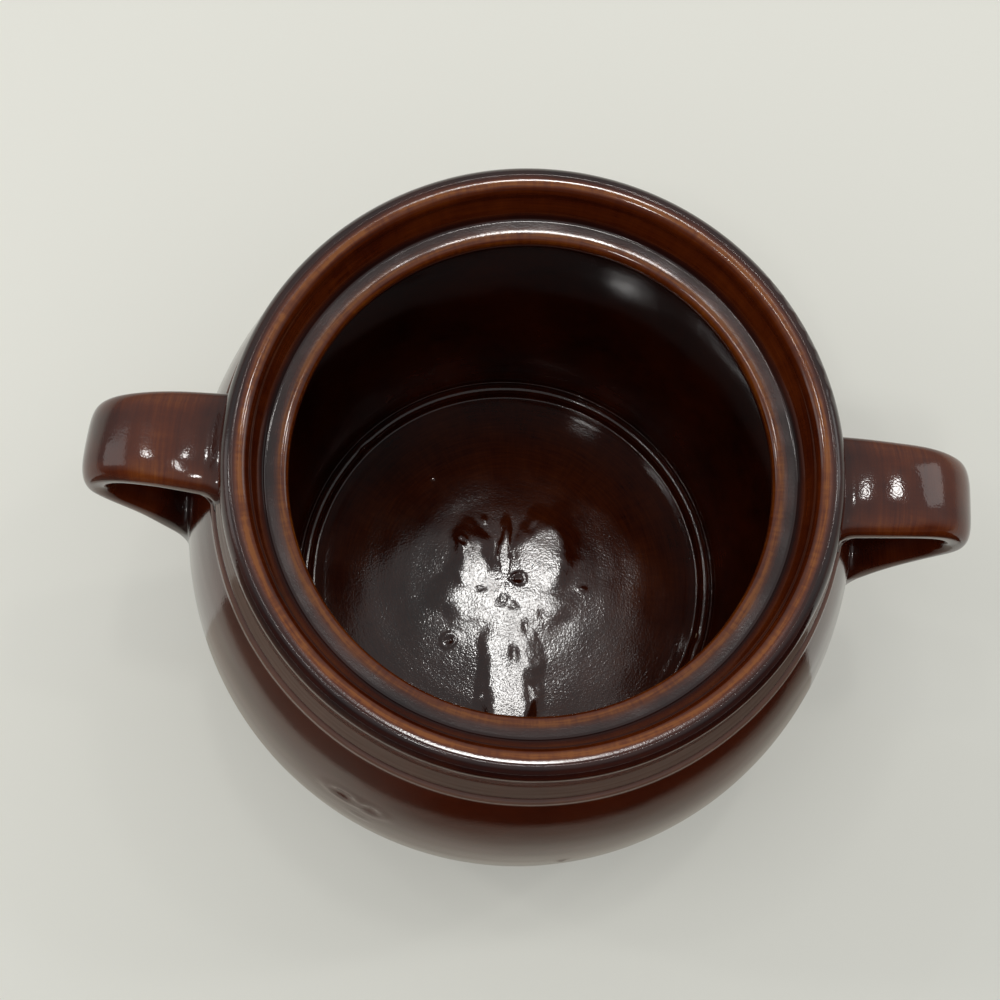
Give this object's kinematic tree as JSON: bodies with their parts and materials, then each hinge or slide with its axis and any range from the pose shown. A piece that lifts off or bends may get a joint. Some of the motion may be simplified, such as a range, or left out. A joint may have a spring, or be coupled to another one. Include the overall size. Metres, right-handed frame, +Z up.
{
  "type": "stoneware bean pot",
  "caption": "Round-bellied glazed stoneware bean pot with a strap handle on each side and a stepped lid seat inside its rolled lip.",
  "frame": {"origin": "centre of the circle that the foot stands on, on the resting plane", "axes": "+X through the right handle as seen from the front, +Y to the back, +Z up through the mouth"},
  "size_m": [0.231, 0.188, 0.163],
  "materials": {
    "stoneware_clay": "bare fired clay, matt and slightly gritty",
    "handle_glaze": "glossy brown glaze over clay, amber along the edges",
    "slip": "fired slip, sealed under the handle",
    "inside_glaze": "glossy, almost black brown glaze",
    "outside_glaze": "glossy red-brown glaze, breaking to amber on edges"
  },
  "bodies": {
    "root": {"base_slab": "stoneware_clay", "floor_bead": "stoneware_clay", "belly_wall": "stoneware_clay", "neck_collar": "stoneware_clay", "handle_left": "handle_glaze", "handle_right": "handle_glaze", "slip_left_upper": "slip", "slip_left_lower": "slip", "slip_right_upper": "slip", "slip_right_lower": "slip", "inside_glaze": "inside_glaze", "outside_glaze": "outside_glaze"}
  },
  "joints": []
}
